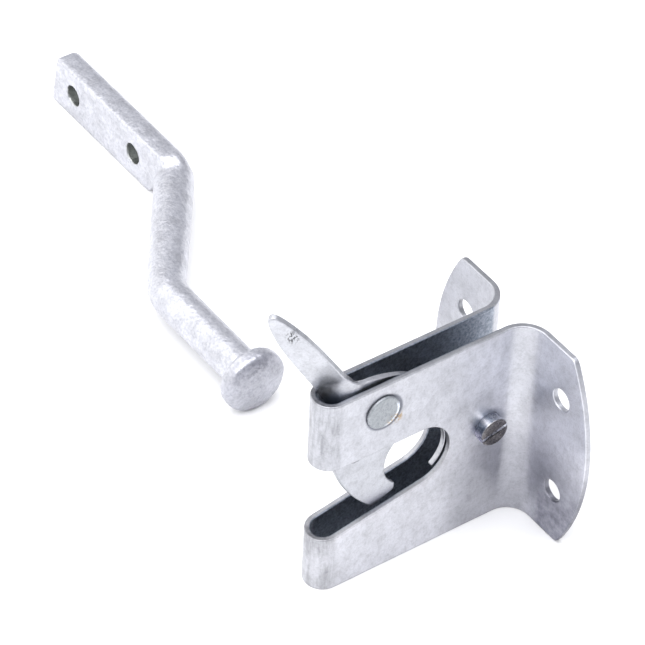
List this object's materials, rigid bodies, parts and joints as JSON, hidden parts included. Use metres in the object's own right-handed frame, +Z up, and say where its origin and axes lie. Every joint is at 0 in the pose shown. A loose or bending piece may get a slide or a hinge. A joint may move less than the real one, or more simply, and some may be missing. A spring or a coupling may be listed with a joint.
{
  "type": "stair gate latch",
  "caption": "Self-closing gate latch with a drop tongue in a U-shaped body, and its loose cranked strike bar.",
  "frame": {"origin": "middle of the footprint of the whole set, on the surface that it stands on", "axes": "+Z up, +Y towards the post that the latch screws to, +X towards the side of the latch that has the screw head"},
  "size_m": [0.2788, 0.0892, 0.1098],
  "materials": {
    "galvanised_sheet": "hot-dip galvanised, satin with a soft mottle",
    "bright_zinc": "bright zinc plate",
    "galvanised_forging": "hot-dip galvanised, thick and slightly lumpy"
  },
  "bodies": {
    "latch": {"latch_body": "galvanised_sheet", "pivot_screw": "bright_zinc", "pivot_nut": "bright_zinc", "pivot_washer": "bright_zinc", "pivot_spacer": "bright_zinc", "guide_rivet": "galvanised_sheet"},
    "tongue": {"latch_tongue": "galvanised_sheet"},
    "strike_bar": {"strike_bar": "galvanised_forging"}
  },
  "joints": [
    {"name": "tongue_lift", "type": "hinge", "parent": "latch", "child": "tongue", "pos_m": [0.1014, 0.02975, 0.03895], "axis": [-1, 0, 0], "range_deg": [0, 20]},
    {"name": "strike_bar_lift_off", "type": "slide", "parent": "latch", "child": "strike_bar", "axis": [0, 0, 1], "range_m": [0, 0.1]}
  ]
}
